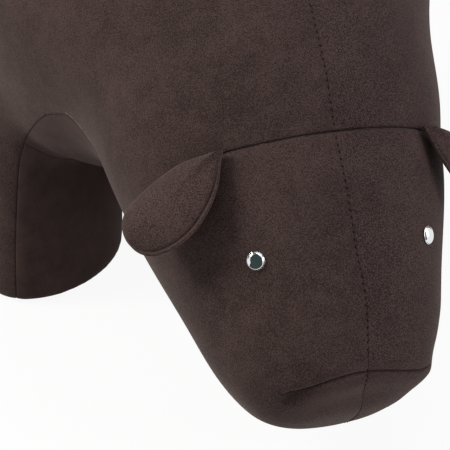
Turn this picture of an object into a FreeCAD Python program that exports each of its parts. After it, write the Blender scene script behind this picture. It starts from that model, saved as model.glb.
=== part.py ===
import FreeCAD, Part
import math
import os

# Bear pouf: foam over a timber frame, sewn into suede-look cloth, head lowered, four stub legs.
# Millimetres, +Z up. The bear faces -Y and its right side is -X.
# Y counts from the neck seam until the last step.
V = FreeCAD.Vector

# Body
BACK_HEIGHT = 422.0
BELLY_HEIGHT = 125.0
BODY_HALF_WIDTH = 190.0
RUMP_Y = 692.0
CROWN_ROUND = 0.80
BELLY_ROUND = 0.45
CROWN_TURN = 22.5
BELLY_TURN = 15.0
CHEST_DROP = 13.0
# Rump sections: distance before the end, drop, shares of width and height, lean, squareness
RUMP_SECTIONS = [
    (78.0, 5.0, 0.90, 0.925, 6.0, 0.9),
    (30.0, 12.0, 0.69, 0.715, 10.0, 0.6),
    (7.0, 16.0, 0.41, 0.43, 12.0, 0.3),
    (0.0, 18.0, 0.17, 0.18, 12.0, 0.0)]

# Neck seam and head
NECK_HEIGHT = 176.0
NECK_TILT = 54.0
NECK_RADIUS = 117.0
NECK_PITCH = 54.0
NECK_NEAR = 25.0
NECK_NEAR_SWELL = 3.0
NECK_FAR = 88.0
NECK_FAR_SWELL = 9.0
THROAT_FORWARD = 13.0
THROAT_DROP = 25.0
HEAD_PITCH = 44.4
HEAD_LENGTH = 179.0
MUZZLE_HALF_WIDTH = 68.5
MUZZLE_HALF_DEPTH = 63.5
MUZZLE_STATION = 0.862
CHEEK_STATION = 0.546
CHEEK_TILT = 52.0
MUZZLE_TILT = 51.0
# Nose sections: share of the head's length, shares of the muzzle's width and depth, tilt
NOSE_SECTIONS = [
    (0.925, 0.87, 0.84, 48.0),
    (0.966, 0.70, 0.60, 43.0),
    (1.0, 0.36, 0.30, 42.0)]

# Legs
FRONT_LEG_Y = 271.0
LEG_SPACING = 285.0
LEG_CENTRE_X = 112.0
LEG_LONG = 94.0
LEG_SHORT = 60.0
LEG_TOE_OUT = 35.0
LEG_BOTTOM = 3.0
LEG_TOP = 250.0
LEG_TOP_DRAW_IN = 3.0
FOOT_ROUND = 7.0
FOOT_DRAW_IN = 5.0

# Cloth and foam
CLOTH = 2.0
CLOTH_GAP = 0.3
FOAM_INSET = CLOTH + CLOTH_GAP
FOAM_SPLIT_Y = 150.0
HEM_TURN = 20.0

# Belly gusset: half widths of its seam line from the throat to the rump
GUSSET_TOP = 240.0
GUSSET_THROAT_ANGLE = 120.0
GUSSET_CHEST_HALF = 149.0
GUSSET_HALF = 166.0
GUSSET_REAR_HALF = 70.0
GUSSET_HIP_TURN = 40.0
GUSSET_TAIL_TURN = 12.0
GUSSET_TAIL_REACH = 4.0

# Mouth dart
MOUTH_STATION = 0.838
MOUTH_TILT = 57.0
MOUTH_WIDTH = 2.4
MOUTH_DEPTH = 9.0
MOUTH_HALF_LENGTH = 56.0

# Eyes
EYE_STATION = 0.418
EYE_ANGLE = 37.5
EYE_DIAMETER = 12.0
EYE_HEIGHT = 3.4
EYE_RIM = 0.8
EYE_SHANK = 3.0
EYE_SHANK_LENGTH = 14.0
EYE_WASHER = 16.0
EYE_WASHER_THICK = 1.5
EYE_SEAT = 0.45
EYE_BORE_SPARE = 10.0

# Ears
EAR_FROM = 35.0
EAR_ROOT = 38.0
EAR_LEAN = 77.0
EAR_LENGTH = 80.0
EAR_HEIGHT = 57.0
EAR_THICK = 7.0
EAR_CLOTH = 1.5
EAR_CROWN = 1.5
EAR_BALL = 420.0
EAR_RIM = 5.0
EAR_GAP = 0.6

# Timber frame
BOARD = 18.0
SEAT_BOARD_Z = 205.0
SEAT_BOARD_HALF = 138.0
SEAT_BOARD_OVERHANG = 34.0
POST = 50.0
POST_X = 111.0
RAIL_THICK = 25.0
RAIL_HIGH = 45.0
BLOCK = 42.0
FOOT_BOARD = 12.0
FOOT_BOARD_INSET = 9.0
CLEAT = 25.0
CLEAT_LONG = 110.0
KEEL_DEEP = 62.0
KEEL_RISE = 66.0
KEEL_FOOT_LONG = 130.0
KEEL_REACH = 0.56
KEEL_NECK = 60.0
KEEL_SHOULDER = 70.0
KEEL_CREST = 70.0

# Fasteners and glides
SCREW = 4.5
SCREW_HEAD = 8.6
SCREW_HEAD_HIGH = 3.0
SCREW_LONG = 46.0
RAIL_SCREW_SPREAD = 38.0
CLEAT_SCREW_STEP = 38.0
FIT = 0.15
GLIDE_DIAMETER = 44.0
FAR = 2000.0

BODY_MID_Z = (BACK_HEIGHT + BELLY_HEIGHT) / 2
BODY_HALF_HEIGHT = (BACK_HEIGHT - BELLY_HEIGHT) / 2
HIND_LEG_Y = FRONT_LEG_Y + LEG_SPACING
LEG_PLACES = [("front", FRONT_LEG_Y), ("hind", HIND_LEG_Y)]
SIDES = [("right", -1), ("left", 1)]


def quadrant(half_w, high, roundness, turn):
    """Points of a side, corner and crown arc, tangent to each other, from the widest line to the middle."""
    corner = roundness * min(half_w, high)
    s, v = math.sin(math.radians(turn)), 1 - math.cos(math.radians(turn))
    a, b = half_w - corner, high - corner
    crown = (s * a - v * b) / (s * s - v * v) + corner
    side = (s * b - v * a) / (s * s - v * v) + corner
    cx, cz = (crown - corner) * s, (side - corner) * s
    flank_end = (half_w - side * v, side * s)
    half_turn = math.radians(turn / 2)
    flank_mid = (half_w - side * (1 - math.cos(half_turn)), side * math.sin(half_turn))
    corner_mid = (cx + corner * math.cos(math.pi / 4), cz + corner * math.sin(math.pi / 4))
    crown_start = (crown * s, high - crown * v)
    return [(half_w, 0), flank_mid, flank_end, corner_mid, crown_start]


def section(y, z, half_w, up_h, down_h, tilt, squareness):
    """Closed section of tangent arcs, square to a line that falls by tilt degrees towards the head."""
    t = math.radians(tilt)
    up = V(0, -math.sin(t), math.cos(t))
    crown_round = 1 - squareness * (1 - CROWN_ROUND)
    belly_round = 1 - squareness * (1 - BELLY_ROUND)
    belly_turn = CROWN_TURN - squareness * (CROWN_TURN - BELLY_TURN)
    top = quadrant(half_w, up_h, crown_round, CROWN_TURN)
    low = [(px, -pz) for px, pz in quadrant(half_w, down_h, belly_round, belly_turn)]
    right_up = top + [(0, up_h)]
    left_up = [(-px, pz) for px, pz in reversed(top)]
    left_low = [(-px, pz) for px, pz in low[1:]] + [(0, -down_h)]
    right_low = list(reversed(low))
    ring = [V(px, y, z) + up * pz for px, pz in right_up + left_up + left_low + right_low]
    arcs = [Part.Arc(ring[i], ring[i + 1], ring[i + 2]).toShape() for i in range(0, len(ring) - 2, 2)]
    return Part.Wire(arcs)


def oval(y, z, half_w, half_h, tilt):
    return section(y, z, half_w, half_h, half_h, tilt, 0)


def loft(stations):
    return Part.makeLoft([section(*s) for s in stations], True, False)


def along(pitch, distance):
    """Y and Z of a point that far from the neck seam's centre, on a line that falls towards the head."""
    p = math.radians(pitch)
    return -distance * math.cos(p), NECK_HEIGHT - distance * math.sin(p)


def body_stations(inset):
    w, h, mid = BODY_HALF_WIDTH - inset, BODY_HALF_HEIGHT - inset, BODY_MID_Z
    r = NECK_RADIUS - inset
    near, far = along(NECK_PITCH, -NECK_NEAR), along(NECK_PITCH, -NECK_FAR)
    near_r, far_r = r + NECK_NEAR_SWELL, r + NECK_FAR_SWELL
    end = RUMP_Y - inset
    front, hind = FRONT_LEG_Y, HIND_LEG_Y
    stations = [
        (0, NECK_HEIGHT, r, r, r, NECK_TILT, 0),
        (near[0], near[1], near_r, near_r, near_r, 0.94 * NECK_TILT, 0),
        (far[0] - THROAT_FORWARD, far[1] - THROAT_DROP, far_r, far_r, far_r, 0.76 * NECK_TILT, 0.25),
        (0.41 * front, mid - CHEST_DROP, 0.86 * w, 1.04 * h, 1.04 * h, 0.45 * NECK_TILT, 0.8),
        (0.70 * front, mid, 0.975 * w, 1.01 * h, 1.01 * h, 0.18 * NECK_TILT, 1),
        (front + 0.10 * LEG_SPACING, mid, w, h, h, 0, 1),
        (hind - 0.20 * LEG_SPACING, mid, w, 0.99 * h, 0.99 * h, 0, 1)]
    for before, drop, wide, high, lean, squareness in RUMP_SECTIONS:
        stations.append((end - before, mid - drop, wide * w, high * h, high * h, -lean, squareness))
    return stations


def head_stations(inset):
    r = NECK_RADIUS - inset
    mw, md = MUZZLE_HALF_WIDTH - inset, MUZZLE_HALF_DEPTH - inset
    length = HEAD_LENGTH - inset

    def station(share, half_w, half_d, tilt):
        y, z = along(HEAD_PITCH, share * length)
        return (y, z, half_w, half_d, half_d, tilt, 0)
    cheek_w, cheek_d = 0.43 * r + 0.57 * mw, 0.52 * r + 0.48 * md
    stations = [
        station(0, r, r, NECK_TILT),
        station(0.14, 0.955 * r, 0.965 * r, NECK_TILT),
        station(CHEEK_STATION, cheek_w, cheek_d, CHEEK_TILT),
        station(MUZZLE_STATION, mw, md, MUZZLE_TILT)]
    return stations + [station(share, wide * mw, deep * md, tilt) for share, wide, deep, tilt in NOSE_SECTIONS]


def body_form(inset):
    return loft(body_stations(inset))


def head_form(inset):
    return loft(head_stations(inset))


def leg_oval(side, y, z, grow):
    """Section of a leg, its long axis turned outward at the front."""
    wire = oval(0, 0, LEG_SHORT + grow, LEG_LONG + grow, 90)
    wire.rotate(V(0, 0, 0), V(0, 0, 1), side * LEG_TOE_OUT)
    wire.translate(V(side * LEG_CENTRE_X, y, z))
    return wire


def leg_form(side, y, inset):
    base = LEG_BOTTOM + inset
    rise = LEG_TOP - LEG_BOTTOM
    shin, knee = LEG_BOTTOM + 0.2 * rise, LEG_BOTTOM + 0.55 * rise
    levels = [(base, -FOOT_DRAW_IN), (shin, 0), (knee, 0), (LEG_TOP, -LEG_TOP_DRAW_IN)]
    column = Part.makeLoft([leg_oval(side, y, z, grow - inset) for z, grow in levels], True, False)
    foot_edges = [e for e in column.Edges if e.BoundBox.ZMax < base + 0.5]
    return column.makeFillet(FOOT_ROUND - inset, foot_edges)


def trunk_form(inset):
    """Barrel and legs as one skin."""
    legs = [leg_form(side, y, inset) for _, side in SIDES for _, y in LEG_PLACES]
    return body_form(inset).fuse(legs)


def prism(points, direction):
    return Part.Face(Part.makePolygon(points + [points[0]])).extrude(direction)


def slab(half_x, y0, y1, z0, z1):
    return Part.makeBox(2 * half_x, y1 - y0, z1 - z0, V(-half_x, y0, z0))


def half_space(side):
    """Everything on one side of the middle plane."""
    return Part.makeBox(FAR, 2 * FAR, 2 * FAR, V(0 if side > 0 else -FAR, -FAR, -FAR))


def gusset_cutter():
    """Prism whose wall is the seam between the flanks and the belly gusset."""
    front = FRONT_LEG_Y - 0.7 * LEG_LONG
    rear = HIND_LEG_Y + LEG_LONG
    turn, tilt = math.radians(GUSSET_THROAT_ANGLE), math.radians(NECK_TILT)
    throat_x, throat_y = NECK_RADIUS * math.sin(turn), -NECK_RADIUS * math.cos(turn) * math.sin(tilt)

    def edge(side):
        def at(x, y):
            return V(side * x, y, 0)
        throat, chest = at(throat_x, throat_y), at(GUSSET_CHEST_HALF, throat_y + 0.6 * (front - throat_y))
        shoulder, hip = at(GUSSET_HALF, front), at(GUSSET_HALF, rear - GUSSET_HIP_TURN)
        bend = at(0.75 * GUSSET_HALF, rear - GUSSET_TAIL_TURN)
        tail = at(GUSSET_REAR_HALF, rear + GUSSET_TAIL_REACH)
        neck = at(0.93 * GUSSET_CHEST_HALF, throat_y + 0.24 * (front - throat_y))
        arm = at(0.42 * GUSSET_CHEST_HALF + 0.58 * GUSSET_HALF, front - 0.21 * (front - throat_y))
        lines = [Part.Arc(throat, neck, chest).toShape(), Part.Arc(chest, arm, shoulder).toShape(),
                 Part.makeLine(shoulder, hip), Part.Arc(hip, bend, tail).toShape()]
        return lines, throat, tail
    right, right_throat, right_tail = edge(-1)
    left, left_throat, left_tail = edge(1)
    rim = right + [Part.makeLine(right_tail, left_tail)] + left + [Part.makeLine(left_throat, right_throat)]
    face = Part.Face(Part.Wire(Part.__sortEdges__(rim)))
    return face.extrude(V(0, 0, GUSSET_TOP))


def mouth_dart(inset):
    """Narrow channel across the front of the muzzle, drawn in where the cloth is tucked."""
    y, z = along(HEAD_PITCH, MOUTH_STATION * HEAD_LENGTH)
    width, half = MOUTH_WIDTH + 2 * inset, MOUTH_HALF_LENGTH + inset
    cut = Part.makeBox(2 * half, width, HEAD_LENGTH, V(-half, -width / 2, 0))
    cut.rotate(V(0, 0, 0), V(1, 0, 0), MOUTH_TILT)
    cut.translate(V(0, y, z))
    return cut.cut(head_form(MOUTH_DEPTH + inset))


def head_skin(inset):
    return head_form(inset).cut(mouth_dart(inset))


def head_point(share, angle):
    """Point on the head's skin at a share of its length and an angle round from the top."""
    axis_y, axis_z = along(HEAD_PITCH, share * HEAD_LENGTH)
    t, a = math.radians(CHEEK_TILT), math.radians(angle)
    ray = V(math.sin(a), -math.cos(a) * math.sin(t), math.cos(a) * math.cos(t))
    start = V(0, axis_y, axis_z)
    hit = Part.makeLine(start, start + ray * 2 * NECK_RADIUS).common(head_form(0))
    return start + ray * hit.Length


def eye_place(side):
    """Where an eye sits and which way it looks: square to three points of the skin round it."""
    step, turn = 0.03, 3.0
    middle = head_point(EYE_STATION, side * EYE_ANGLE)
    ahead = head_point(EYE_STATION + step, side * EYE_ANGLE)
    round_it = head_point(EYE_STATION, side * (EYE_ANGLE + turn))
    out = (ahead - middle).cross(round_it - middle) * side
    out.normalize()
    return middle, out


def turned(profile, base, axis):
    """Solid of revolution of (radius, height) points, stood up at base along axis."""
    points = [V(r, 0, h) for r, h in profile]
    body = Part.Face(Part.makePolygon(points + [points[0]])).revolve(V(0, 0, 0), V(0, 0, 1), 360)
    place = FreeCAD.Placement(base, FreeCAD.Rotation(V(0, 0, 1), axis))
    body.Placement = place
    return body


def eye_cap(side):
    base, out = eye_place(side)
    r, s = EYE_DIAMETER / 2, EYE_SHANK / 2
    dome = [(r * math.cos(k * math.pi / 16), EYE_RIM + (EYE_HEIGHT - EYE_RIM) * math.sin(k * math.pi / 16))
            for k in range(8)]
    profile = [(0, -EYE_SHANK_LENGTH), (s, -EYE_SHANK_LENGTH), (s, 0), (r, 0)] + dome + [(0, EYE_HEIGHT)]
    return turned(profile, base + out * EYE_SEAT, out)


def eye_bore(side):
    base, out = eye_place(side)
    start = base - out * EYE_SHANK_LENGTH
    return Part.makeCylinder(EYE_SHANK / 2 + FIT, EYE_SHANK_LENGTH + EYE_BORE_SPARE, start, out)


def eye_washer(side):
    base, out = eye_place(side)
    seat = base - out * (FOAM_INSET + EYE_WASHER_THICK + 2 * CLOTH_GAP)
    disc = Part.makeCylinder(EYE_WASHER / 2, EYE_WASHER_THICK, seat, out)
    return disc.cut(eye_bore(side))


def ring_frame(angle):
    """Outward, tangent and forward directions on the neck seam's right side, at an angle from the top."""
    t, a = math.radians(NECK_TILT), math.radians(angle)
    out = V(-math.sin(a), -math.cos(a) * math.sin(t), math.cos(a) * math.cos(t))
    round_it = V(-math.cos(a), math.sin(a) * math.sin(t), -math.sin(a) * math.cos(t))
    forward = V(0, -math.cos(t), -math.sin(t))
    return out, round_it, forward


def ear_frame():
    """Root corner and the root, reach and thickness directions of the right ear's flat flap."""
    middle = EAR_FROM + math.degrees(EAR_ROOT / 2 / NECK_RADIUS)
    out, round_it, forward = ring_frame(middle)
    lean = math.radians(EAR_LEAN)
    reach = out * math.cos(lean) + forward * math.sin(lean)
    thick = out * math.sin(lean) - forward * math.cos(lean)
    root = V(0, 0, NECK_HEIGHT) + out * (NECK_RADIUS + EAR_GAP) - round_it * (EAR_ROOT / 2)
    return root, round_it, reach, thick


def ear_leaf(inset, low, high):
    """Leaf outline, rooted along part of its length and hanging free beyond, between two heights."""
    root, round_it, reach, thick = ear_frame()
    centre_s, centre_h = 0.5 * EAR_LENGTH, 0.5 * EAR_HEIGHT
    share_s = 1 - 2 * inset / EAR_LENGTH
    share_h = 1 - 2 * inset / EAR_HEIGHT

    def at(s, h):
        ps = centre_s + (s * EAR_LENGTH - centre_s) * share_s
        ph = centre_h + (h * EAR_HEIGHT - centre_h) * share_h
        return root + round_it * ps + reach * ph + thick * low
    heel, brow, crest, lobe = at(0, 0), at(0.05, 0.39), at(0.28, 0.86), at(0.74, 1.0)
    tip, back, foot = at(0.985, 0.58), at(0.68, 0.21), at(EAR_ROOT / EAR_LENGTH, 0)
    rim = [Part.makeLine(heel, brow),
           Part.Arc(brow, at(0.13, 0.63), crest).toShape(),
           Part.Arc(crest, at(0.49, 0.99), lobe).toShape(),
           Part.Arc(lobe, at(0.94, 0.83), tip).toShape(),
           Part.Arc(tip, at(0.88, 0.35), back).toShape(),
           Part.makeLine(back, foot),
           Part.makeLine(foot, heel)]
    return Part.Face(Part.Wire(rim)).extrude(thick * (high - low))


def ear_dome(drop):
    """Large ball whose cap gives the flap its padded crown."""
    root, round_it, reach, thick = ear_frame()
    top = root + round_it * (0.5 * EAR_LENGTH) + reach * (0.5 * EAR_HEIGHT)
    return Part.makeSphere(EAR_BALL - drop, top + thick * (EAR_THICK + EAR_CROWN - EAR_BALL))


def ear_pieces():
    """Top panel, under panel and wadding of the right ear."""
    room = EAR_THICK + 2 * EAR_CROWN
    whole = ear_leaf(0, 0, room).common(ear_dome(0))
    under = ear_leaf(0, 0, EAR_CLOTH)
    fill = ear_leaf(EAR_RIM, EAR_CLOTH, room).common(ear_dome(EAR_CLOTH))
    top = whole.cut(under).cut(fill)
    return {"top": top, "under": under, "wadding": fill}


def post(side, y):
    z0 = LEG_BOTTOM + CLOTH + FOOT_BOARD
    x = side * POST_X
    return Part.makeBox(POST, POST, SEAT_BOARD_Z - z0, V(x - POST / 2, y - POST / 2, z0))


def foot_board(side, y):
    z = LEG_BOTTOM + CLOTH
    face = Part.Face(leg_oval(side, y, z, -FOOT_DRAW_IN - FOOT_BOARD_INSET))
    return face.extrude(V(0, 0, FOOT_BOARD))


def foot_hole(side, y):
    """Opening that the turned-in hem leaves under a foot."""
    return Part.Face(leg_oval(side, y, LEG_BOTTOM, -FOOT_DRAW_IN - HEM_TURN)).extrude(V(0, 0, CLOTH))


def foot_cloth(side, y):
    rim = leg_oval(side, y, LEG_BOTTOM, -FOOT_DRAW_IN - HEM_TURN - CLOTH_GAP)
    return Part.Face(rim).extrude(V(0, 0, CLOTH))


def side_rail(side):
    inner = POST_X - POST / 2 - RAIL_THICK
    y0, y1 = FRONT_LEG_Y - POST / 2, HIND_LEG_Y + POST / 2
    x = inner if side > 0 else -inner - RAIL_THICK
    return Part.makeBox(RAIL_THICK, y1 - y0, RAIL_HIGH, V(x, y0, SEAT_BOARD_Z - RAIL_HIGH))


def cross_rail(y):
    half = POST_X - POST / 2 - RAIL_THICK
    return slab(half, y - RAIL_THICK / 2, y + RAIL_THICK / 2, SEAT_BOARD_Z - RAIL_HIGH, SEAT_BOARD_Z)


def corner_block(side, y, inward):
    x = side * (POST_X - POST / 2 - RAIL_THICK)
    y0 = y + inward * RAIL_THICK / 2
    z = SEAT_BOARD_Z - RAIL_HIGH
    corner = [V(x, y0, z), V(x - side * BLOCK, y0, z), V(x, y0 + inward * BLOCK, z)]
    return prism(corner, V(0, 0, RAIL_HIGH))


def seat_board():
    overhang = POST / 2 + SEAT_BOARD_OVERHANG
    y0, y1 = FRONT_LEG_Y - overhang, HIND_LEG_Y + overhang
    board = slab(SEAT_BOARD_HALF, y0, y1, SEAT_BOARD_Z, SEAT_BOARD_Z + BOARD)
    return board.makeFillet(2 * BOARD, [e for e in board.Edges if abs(e.Length - BOARD) < 0.01])


def keel():
    """Upright board from the seat board through the neck into the head."""
    top = SEAT_BOARD_Z + BOARD
    heel = FRONT_LEG_Y - POST / 2 + KEEL_FOOT_LONG
    toe = FRONT_LEG_Y - POST / 2 - SEAT_BOARD_OVERHANG
    nose_y, nose_z = along(HEAD_PITCH, KEEL_REACH * HEAD_LENGTH)
    neck_y, neck_z = along(NECK_PITCH, -KEEL_NECK)
    half = KEEL_DEEP / 2
    outline = [V(0, heel, top), V(0, heel, top + 0.5 * KEEL_RISE), V(0, heel - KEEL_SHOULDER, top + KEEL_RISE),
               V(0, toe - KEEL_CREST / 2, top + KEEL_RISE), V(0, neck_y - half, neck_z + 0.8 * half),
               V(0, nose_y - 0.7 * half, nose_z + 0.7 * half), V(0, nose_y + 0.4 * half, nose_z - 0.7 * half),
               V(0, neck_y + half, neck_z - 0.6 * half), V(0, toe, top)]
    board = prism(outline, V(BOARD, 0, 0))
    board.translate(V(-BOARD / 2, 0, 0))
    return board


def cleat(side):
    x = BOARD / 2 if side > 0 else -BOARD / 2 - CLEAT
    y = FRONT_LEG_Y - POST / 2
    return Part.makeBox(CLEAT, CLEAT_LONG, CLEAT, V(x, y, SEAT_BOARD_Z + BOARD))


def screw(head_at, direction, grow):
    """Screw whose head's top is at head_at and whose shank runs along direction."""
    cap = Part.makeCylinder(SCREW_HEAD / 2 + grow, SCREW_HEAD_HIGH, head_at, direction)
    shank = Part.makeCylinder(SCREW / 2 + grow, SCREW_LONG + grow, head_at, direction)
    return cap.fuse(shank)


def screw_places():
    """Every frame screw, as its head's place and the way it is driven."""
    places = []
    inner = POST_X - POST / 2 - RAIL_THICK
    mid = SEAT_BOARD_Z - RAIL_HIGH / 2
    for _, side in SIDES:
        for _, y in LEG_PLACES:
            for dy in (-RAIL_SCREW_SPREAD / 2, RAIL_SCREW_SPREAD / 2):
                places.append((V(side * inner, y + dy, mid), V(side, 0, 0)))
            places.append((V(side * POST_X, y, SEAT_BOARD_Z + BOARD), V(0, 0, -1)))
            places.append((V(side * POST_X, y, LEG_BOTTOM + CLOTH), V(0, 0, 1)))
        middle = FRONT_LEG_Y - POST / 2 + CLEAT_LONG / 2
        x = side * (BOARD + CLEAT) / 2
        places += [(V(x, middle + dy, SEAT_BOARD_Z), V(0, 0, 1)) for dy in (0, CLEAT_SCREW_STEP)]
    return places


def cut_all(shape, cutters):
    return shape.cut(cutters) if cutters else shape


def only_solid(shape):
    """The largest solid of a result."""
    return max(shape.Solids, key=lambda s: s.Volume)


def build():
    parts = {}
    trunk = trunk_form(0).cut(trunk_form(CLOTH))
    trunk = trunk.cut([foot_hole(side, y) for _, side in SIDES for _, y in LEG_PLACES])
    gusset = gusset_cutter()
    parts["belly_gusset"] = only_solid(trunk.common(gusset))
    flanks = trunk.cut(gusset)
    head = head_skin(0).cut(head_skin(CLOTH))
    for name, side in SIDES:
        parts["flank_cover_" + name] = only_solid(flanks.common(half_space(side)))
        parts["head_cover_" + name] = only_solid(head.common(half_space(side)).cut(eye_bore(side)))

    timber = {"seat_board": seat_board(), "head_keel": keel()}
    for place, y in LEG_PLACES:
        timber["cross_rail_" + place] = cross_rail(y)
    for name, side in SIDES:
        timber["side_rail_" + name] = side_rail(side)
        timber["keel_cleat_" + name] = cleat(side)
        for place, y in LEG_PLACES:
            inward = 1 if place == "front" else -1
            timber["leg_post_" + place + "_" + name] = post(side, y)
            timber["corner_block_" + place + "_" + name] = corner_block(side, y, inward)
            timber["foot_board_" + place + "_" + name] = foot_board(side, y)
    raw = list(timber.values())
    bores = [screw(at, way, FIT) for at, way in screw_places()]
    for name, shape in timber.items():
        hits = [b for b in bores if b.BoundBox.intersect(shape.BoundBox)]
        parts[name] = cut_all(shape, hits)
    parts["frame_screws"] = Part.makeCompound([screw(at, way, 0) for at, way in screw_places()])

    barrel = body_form(FOAM_INSET)
    ahead = Part.makeBox(2 * FAR, FAR + FOAM_SPLIT_Y, 2 * FAR, V(-FAR, -FAR, -FAR))
    parts["neck_foam"] = only_solid(barrel.common(ahead).cut(raw))
    parts["back_foam"] = only_solid(barrel.cut(ahead).cut(raw).cut(bores))
    washers = {name: eye_washer(side) for name, side in SIDES}
    eye_bores = [eye_bore(side) for _, side in SIDES]
    inside = [keel()] + list(washers.values()) + eye_bores
    parts["head_foam"] = only_solid(head_skin(FOAM_INSET).cut(inside))
    for name, side in SIDES:
        for place, y in LEG_PLACES:
            tag = place + "_" + name
            inside = [barrel, timber["leg_post_" + tag], timber["foot_board_" + tag]]
            parts["leg_foam_" + tag] = only_solid(leg_form(side, y, FOAM_INSET).cut(inside))
            parts["foot_cloth_" + tag] = foot_cloth(side, y)
        parts["eye_cap_" + name] = eye_cap(side)
        parts["eye_washer_" + name] = washers[name]
    feet = [V(side * LEG_CENTRE_X, y, 0) for _, side in SIDES for _, y in LEG_PLACES]
    parts["glides"] = Part.makeCompound([Part.makeCylinder(GLIDE_DIAMETER / 2, LEG_BOTTOM, at) for at in feet])
    for layer, shape in ear_pieces().items():
        parts["ear_right_" + layer] = shape
        parts["ear_left_" + layer] = shape.mirror(V(0, 0, 0), V(1, 0, 0))
    return parts


def centred(parts):
    """Moves everything so that the middle of the whole length is at Y zero."""
    skins = [parts[n].optimalBoundingBox(False, False) for n in ("head_cover_right", "flank_cover_right")]
    middle = (min(b.YMin for b in skins) + max(b.YMax for b in skins)) / 2
    for shape in parts.values():
        shape.translate(V(0, -middle, 0))
    return middle


def main():
    os.makedirs("parts", exist_ok=True)
    parts = build()
    shift = centred(parts)
    for name, shape in parts.items():
        shape.exportStep("parts/" + name + ".step")
    print("pieces", len(parts), "shift", round(shift, 3))


main()
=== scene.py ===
import math

import bmesh
import bpy
import numpy as np
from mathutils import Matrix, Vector, noise
from mathutils.bvhtree import BVHTree
from mathutils.kdtree import KDTree

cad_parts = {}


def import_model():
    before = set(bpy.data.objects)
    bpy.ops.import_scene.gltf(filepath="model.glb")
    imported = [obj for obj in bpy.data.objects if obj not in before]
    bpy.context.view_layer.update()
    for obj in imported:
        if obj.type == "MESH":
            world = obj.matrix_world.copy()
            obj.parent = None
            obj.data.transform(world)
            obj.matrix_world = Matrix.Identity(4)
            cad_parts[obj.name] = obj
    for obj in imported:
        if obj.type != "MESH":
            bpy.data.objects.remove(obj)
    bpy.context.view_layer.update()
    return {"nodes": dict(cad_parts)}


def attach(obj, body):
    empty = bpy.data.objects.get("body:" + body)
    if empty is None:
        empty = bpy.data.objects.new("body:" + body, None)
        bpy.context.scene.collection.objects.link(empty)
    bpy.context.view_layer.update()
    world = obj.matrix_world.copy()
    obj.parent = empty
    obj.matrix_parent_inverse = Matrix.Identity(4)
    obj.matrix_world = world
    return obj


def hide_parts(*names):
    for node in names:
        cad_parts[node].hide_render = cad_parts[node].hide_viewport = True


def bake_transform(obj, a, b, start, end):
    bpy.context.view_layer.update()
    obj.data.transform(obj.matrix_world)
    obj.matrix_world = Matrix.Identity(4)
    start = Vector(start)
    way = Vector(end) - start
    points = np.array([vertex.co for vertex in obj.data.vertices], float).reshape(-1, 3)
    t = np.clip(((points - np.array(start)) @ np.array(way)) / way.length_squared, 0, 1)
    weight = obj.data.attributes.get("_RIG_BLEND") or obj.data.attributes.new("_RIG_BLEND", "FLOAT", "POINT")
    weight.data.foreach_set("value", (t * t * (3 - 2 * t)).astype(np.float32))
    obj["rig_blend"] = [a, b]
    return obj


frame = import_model()
scene = bpy.context.scene

# Bear pouf: suede-look panels sewn over foam. Sizes are in millimetres, as in the part's source, with Y
# counted from the neck seam. Meshes are in metres, in the frame.
NECK_Y = -269.463
MM = 0.001

BACK_HEIGHT, BELLY_HEIGHT, BODY_HALF_WIDTH, RUMP_Y = 422.0, 125.0, 190.0, 692.0
SHOULDER_Y, BACK_START, BACK_END = 271.0, 299.5, 499.0
CROWN_ROUND, BELLY_ROUND, CROWN_TURN, BELLY_TURN = 0.80, 0.45, 22.5, 15.0
NECK_HEIGHT, NECK_TILT, NECK_RADIUS, NECK_PITCH = 176.0, 54.0, 117.0, 54.0
HEAD_PITCH, HEAD_LENGTH, HEAD_OVERLAP = 44.4, 179.0, 0.14
MUZZLE_HALF_WIDTH, MUZZLE_HALF_DEPTH, MUZZLE_STATION, CHIN_DRAW_IN = 68.5, 63.5, 0.862, 4.5
FRONT_LEG_Y, HIND_LEG_Y, LEG_X = 272.0, 557.0, 117.5
LEG_LONG, LEG_SHORT, LEG_TOE_OUT, LEG_BOTTOM, LEG_TOP = 92.0, 58.9, 35.0, 1.8, 250.0
FOOT_ROUND, FOOT_DRAW_IN, FOOT_RISE = 9.0, 2.0, 45.0
LEG_TAPER_FROM, LEG_TOP_DRAW_IN, LEG_SPOTS = 140.0, 3.0, 96
SOLE_X, SOLE_Y, SOLE_LONG, SOLE_SHORT, SOLE_HEIGHT = 112.0, -1.0, 69.3, 35.3, 7.0
SOLE_NEAR = 1.3  # share of the oval within which a foot's edge belongs to it
SIDES = (-1, "right"), (1, "left")

# Half width of the belly gusset along the body, and how its seam flares out towards the front feet
GUSSET_Y = [40, 58, 82, 100, 128, 156, 193, 270, 347, 360, 385, 410, 440, 475, 555, 632, 645, 662]
GUSSET_HALF = [60, 104, 132, 139, 146.7, 149.6, 150, 127.5, 105, 108, 130, 146, 151, 150, 127, 105, 96, 40]
FLARE_Z, FLARE = [14, 45, 83, 119, 137, 157, 176], [16.8, 15.5, 12.4, 8.4, 5.7, 1.6, 0]
# The same seam as an arch seen from the side, where it climbs over the front leg's shoulder
ARCH_Z, ARCH_Y = [100, 119, 137, 157, 177, 194, 201, 205], [193, 193, 192, 181, 156, 128, 114, 100]
# Where the flare ends, and where along the body and upwards the arch takes hold and lets go
FLARE_END, ARCH_RUN, ARCH_RISE = [205, 250], [105, 125, 215, 240], [108, 128, 194, 203]
HOLD, ARCH_SHARE = [0, 1, 1, 0], 0.4
GUSSET_TOP, GUSSET_FRONT, GUSSET_BACK = 240.0, 46.0, 655.0
# Crease of a leg on the gusset: from how far back, between which heights, and how near to both forms
TUCK_FROM, TUCK_LOW, TUCK_HIGH, TUCK_REACH = 150.0, 60.0, 190.0, 30.0

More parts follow.
